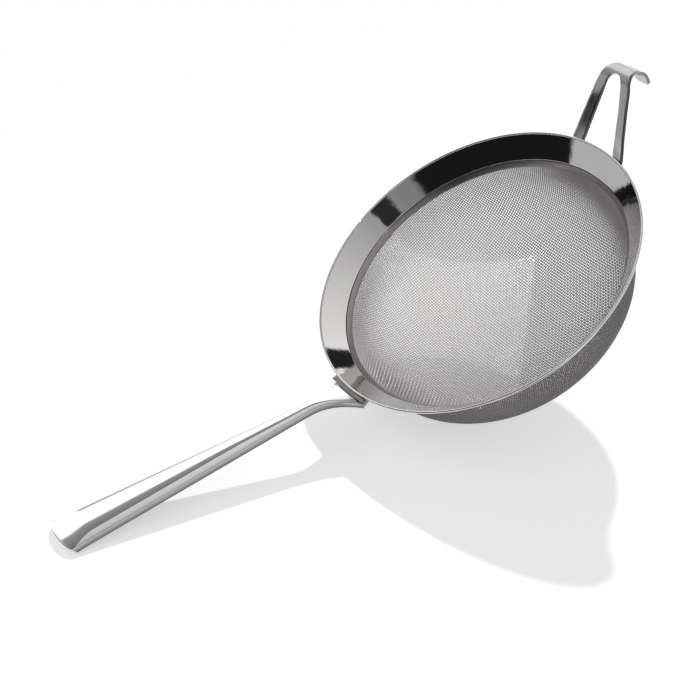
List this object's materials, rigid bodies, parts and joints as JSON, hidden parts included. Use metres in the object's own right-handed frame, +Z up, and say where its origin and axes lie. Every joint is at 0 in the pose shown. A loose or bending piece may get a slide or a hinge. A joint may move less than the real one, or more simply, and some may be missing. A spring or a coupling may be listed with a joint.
{
  "type": "mesh strainer",
  "caption": "Kitchen strainer with a woven wire bowl clamped in a wide polished conical rim, a solid flared handle and a bent sheet hook for resting it on a pot.",
  "frame": {"origin": "on the floor, under the middle of the strainer's bounding box as it lies on a table on its handle tip and the side of its bowl", "axes": "+Z up from the floor, +X from the handle towards the hook, +Y across the strainer, which is symmetric about the XZ plane; the bowl's own axis leans towards the handle by 30.65 degrees"},
  "size_m": [0.387, 0.2, 0.179],
  "materials": {
    "polished_steel": "polished",
    "satin_steel": "satin",
    "wire_mesh": "satin",
    "hook_steel": "gloss"
  },
  "bodies": {
    "root": {"rim": "polished_steel", "clamp_ring": "satin_steel", "mesh_basket": "wire_mesh", "handle": "polished_steel", "handle_bracket": "satin_steel", "rest_hook": "hook_steel"}
  },
  "joints": []
}
